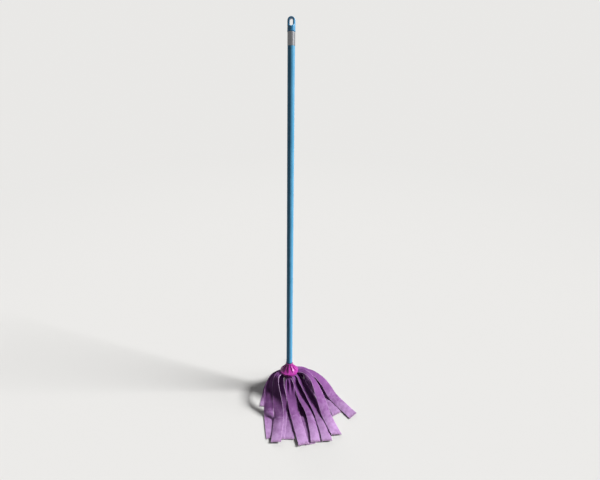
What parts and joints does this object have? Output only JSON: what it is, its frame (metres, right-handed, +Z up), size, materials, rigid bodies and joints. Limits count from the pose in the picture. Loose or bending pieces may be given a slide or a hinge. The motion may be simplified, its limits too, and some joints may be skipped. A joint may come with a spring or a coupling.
{
  "type": "strip mop",
  "caption": "Floor mop with lilac felt strips spread from a ribbed magenta socket on a screw-in blue sleeved steel handle with a hanger cap.",
  "frame": {"origin": "the point of the floor that the handle's axis meets, under the mop head", "axes": "+Z up from the floor, +Y the way the handle leans back, -Y the way most strips lie"},
  "size_m": [0.3578, 0.5051, 1.2463],
  "materials": {
    "tube_steel": "plain drawn steel",
    "sleeve_blue": "smooth gloss",
    "foil_silver": "bright foil",
    "cap_blue": "moulded gloss",
    "plug_black": "moulded matt",
    "socket_magenta": "moulded gloss",
    "retainer_magenta": "moulded matt",
    "felt_lilac": "needled felt"
  },
  "bodies": {
    "mop_head": {"mop_socket": "socket_magenta", "strip_retainer": "retainer_magenta", "strip_1_right_tail": "felt_lilac", "strip_1_left_tail": "felt_lilac", "strip_2_right_tail": "felt_lilac", "strip_2_left_tail": "felt_lilac", "strip_3_right_tail": "felt_lilac", "strip_3_left_tail": "felt_lilac", "strip_4_right_tail": "felt_lilac", "strip_4_left_tail": "felt_lilac", "strip_5_front_tail": "felt_lilac", "strip_5_back_tail": "felt_lilac", "strip_6_front_tail": "felt_lilac", "strip_6_back_tail": "felt_lilac", "strip_7_front_tail": "felt_lilac", "strip_7_back_tail": "felt_lilac", "strip_8_front_tail": "felt_lilac", "strip_8_back_tail": "felt_lilac"},
    "plug": {"thread_plug": "plug_black"},
    "handle": {"steel_tube": "tube_steel", "blue_sleeve": "sleeve_blue", "foil_band": "foil_silver", "hanger_cap": "cap_blue"}
  },
  "joints": [
    {"name": "handle_rise", "type": "slide", "parent": "mop_head", "child": "plug", "axis": [0, 0.225, 0.9744], "range_m": [0, 0.0305]},
    {"name": "handle_turn", "type": "hinge", "parent": "plug", "child": "handle", "pos_m": [0, 0.03037, 0.13154], "axis": [0, 0.225, 0.9744], "range_deg": [0, 2160]}
  ],
  "couplings": [
    {"joint": "handle_rise", "follows": "handle_turn", "m_per_rad": 0.00079577}
  ]
}
